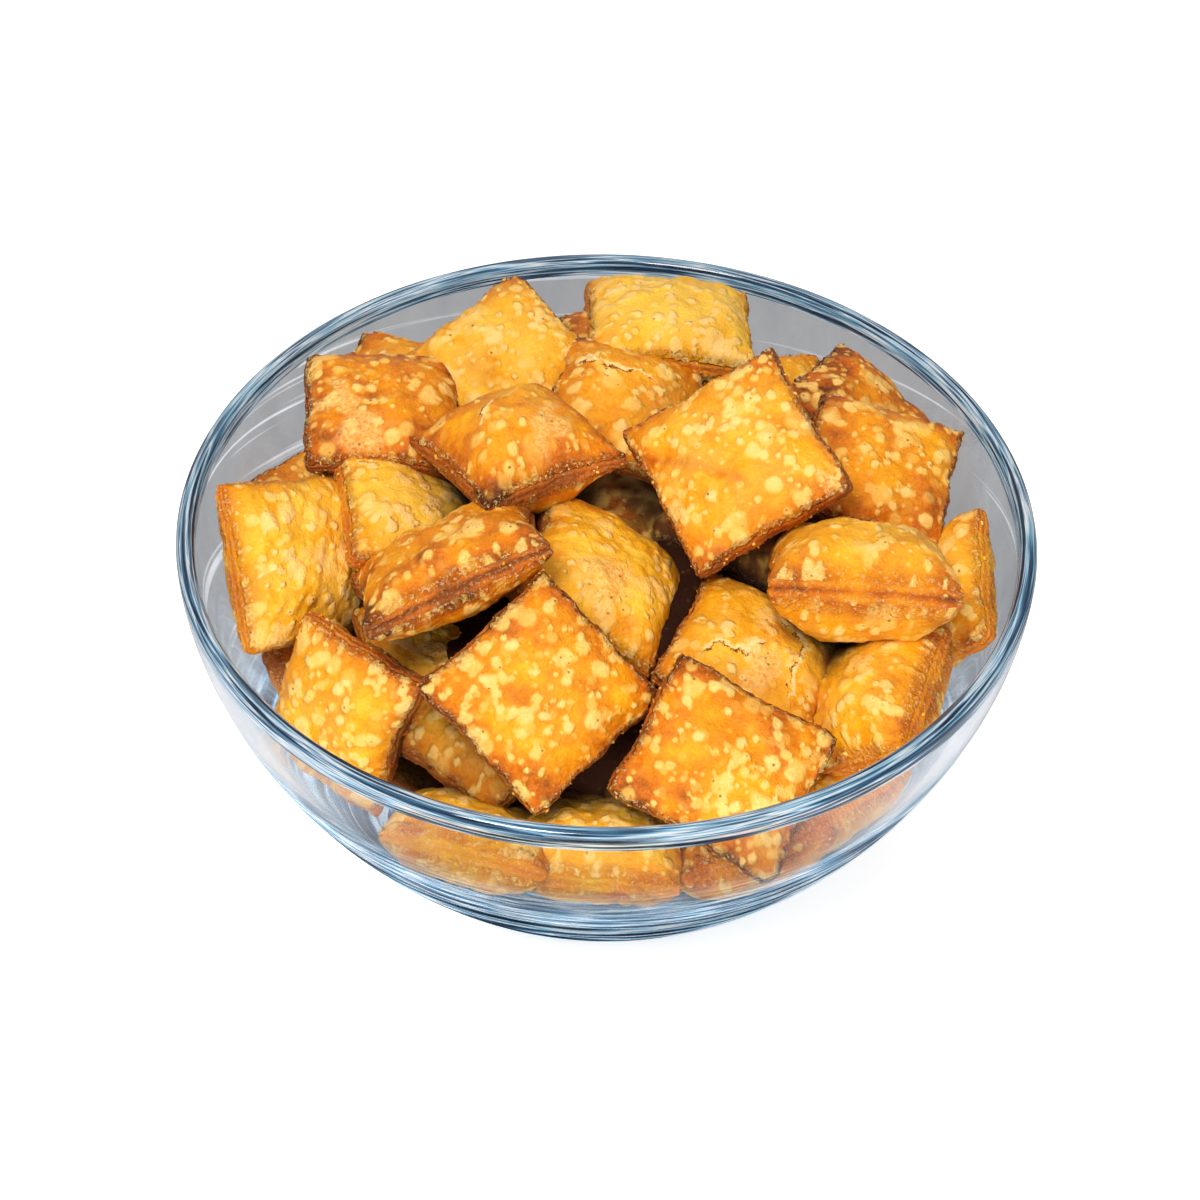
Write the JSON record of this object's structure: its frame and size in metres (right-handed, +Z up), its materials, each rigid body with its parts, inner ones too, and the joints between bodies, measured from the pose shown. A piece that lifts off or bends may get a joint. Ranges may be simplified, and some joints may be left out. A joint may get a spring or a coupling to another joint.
{
  "type": "bowl of shankarpali",
  "caption": "Round clear glass bowl heaped just above its rim with square puffed, blistered golden pastry snacks.",
  "frame": {"origin": "centre of the foot, on the plane that the bowl stands on", "axes": "+Z up along the bowl's axis, -Y towards the viewer of the picture, +X to that viewer's right"},
  "size_m": [0.141, 0.141, 0.0842],
  "materials": {
    "glass": "clear, polished, faintly blue pressed glass",
    "pastry": "golden fried pastry, satin, blistered, browner at edges and corners"
  },
  "bodies": {
    "root": {"bowl": "glass", "heap": "pastry"}
  },
  "joints": []
}
